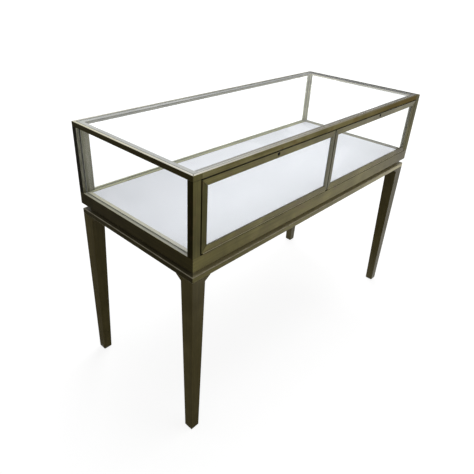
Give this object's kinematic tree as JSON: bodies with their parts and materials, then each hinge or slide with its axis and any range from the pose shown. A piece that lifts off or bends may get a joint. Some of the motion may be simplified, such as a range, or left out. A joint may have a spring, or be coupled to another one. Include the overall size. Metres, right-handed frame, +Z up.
{
  "type": "glass display cabinet",
  "caption": "Long low glass showcase in a brushed bronze frame on a stand with tapered legs, with framed glass flap doors that drop forward and lock at the top.",
  "frame": {"origin": "on the floor, under the middle of the cabinet", "axes": "+X along the length, left to right for someone facing the doors; +Y from the door side to the back; +Z up"},
  "size_m": [1.2, 0.52, 0.88],
  "materials": {
    "bronze_frame": "brushed, olive bronze tint",
    "dark_bronze": "brushed, dark bronze tint",
    "clear_glass": "polished clear",
    "white_deck": "satin white board",
    "grey_board": "plain grey board",
    "glazing_seal": "matt grey",
    "lock_black": "black",
    "bright_steel": "plain steel",
    "glide_rubber": "matt black"
  },
  "bodies": {
    "cabinet": {"base_rail_front": "bronze_frame", "base_rail_back": "bronze_frame", "base_rail_left": "bronze_frame", "base_rail_right": "bronze_frame", "top_rail_front": "bronze_frame", "top_rail_back": "bronze_frame", "top_rail_left": "bronze_frame", "top_rail_right": "bronze_frame", "post_front_left": "bronze_frame", "post_front_right": "bronze_frame", "post_back_left": "bronze_frame", "post_back_right": "bronze_frame", "corner_cover": "bronze_frame", "glass_top": "clear_glass", "glass_left": "clear_glass", "glass_right": "clear_glass", "glass_back": "clear_glass", "top_glass_seal": "glazing_seal", "display_deck": "white_deck", "base_panel": "grey_board", "plinth_front": "dark_bronze", "plinth_back": "dark_bronze", "plinth_left": "dark_bronze", "plinth_right": "dark_bronze", "apron_front": "bronze_frame", "apron_back": "bronze_frame", "apron_left": "bronze_frame", "apron_right": "bronze_frame", "leg_front_left": "bronze_frame", "leg_front_right": "bronze_frame", "leg_back_left": "bronze_frame", "leg_back_right": "bronze_frame", "foot_glide_front_left": "glide_rubber", "foot_glide_front_right": "glide_rubber", "foot_glide_back_left": "glide_rubber", "foot_glide_back_right": "glide_rubber", "left_hinge_frame_leaf": "dark_bronze", "left_hinge_pin": "bright_steel", "right_hinge_frame_leaf": "dark_bronze", "right_hinge_pin": "bright_steel"},
    "door_left": {"left_door_bottom_rail": "bronze_frame", "left_door_top_rail": "bronze_frame", "left_door_outer_stile": "bronze_frame", "left_door_inner_stile": "bronze_frame", "left_door_glass": "clear_glass", "left_door_bead": "glazing_seal", "left_hinge_door_leaf": "dark_bronze", "left_lock_barrel": "lock_black"},
    "door_right": {"right_door_bottom_rail": "bronze_frame", "right_door_top_rail": "bronze_frame", "right_door_outer_stile": "bronze_frame", "right_door_inner_stile": "bronze_frame", "right_door_glass": "clear_glass", "right_door_bead": "glazing_seal", "right_hinge_door_leaf": "dark_bronze", "right_lock_barrel": "lock_black"},
    "lock_left": {"left_lock_plug": "lock_black", "left_lock_cam": "bright_steel"},
    "lock_right": {"right_lock_plug": "lock_black", "right_lock_cam": "bright_steel"}
  },
  "joints": [
    {"name": "left_door_hinge", "type": "hinge", "parent": "cabinet", "child": "door_left", "pos_m": [-0.28613, -0.2578, 0.6563], "axis": [1, 0, 0], "range_deg": [0, 90]},
    {"name": "right_door_hinge", "type": "hinge", "parent": "cabinet", "child": "door_right", "pos_m": [0.28613, -0.2578, 0.6563], "axis": [1, 0, 0], "range_deg": [0, 90]},
    {"name": "left_lock_turn", "type": "hinge", "parent": "door_left", "child": "lock_left", "pos_m": [-0.28613, -0.26, 0.855], "axis": [0, -1, 0], "range_deg": [0, 90]},
    {"name": "right_lock_turn", "type": "hinge", "parent": "door_right", "child": "lock_right", "pos_m": [0.28613, -0.26, 0.855], "axis": [0, 1, 0], "range_deg": [0, 90]}
  ]
}
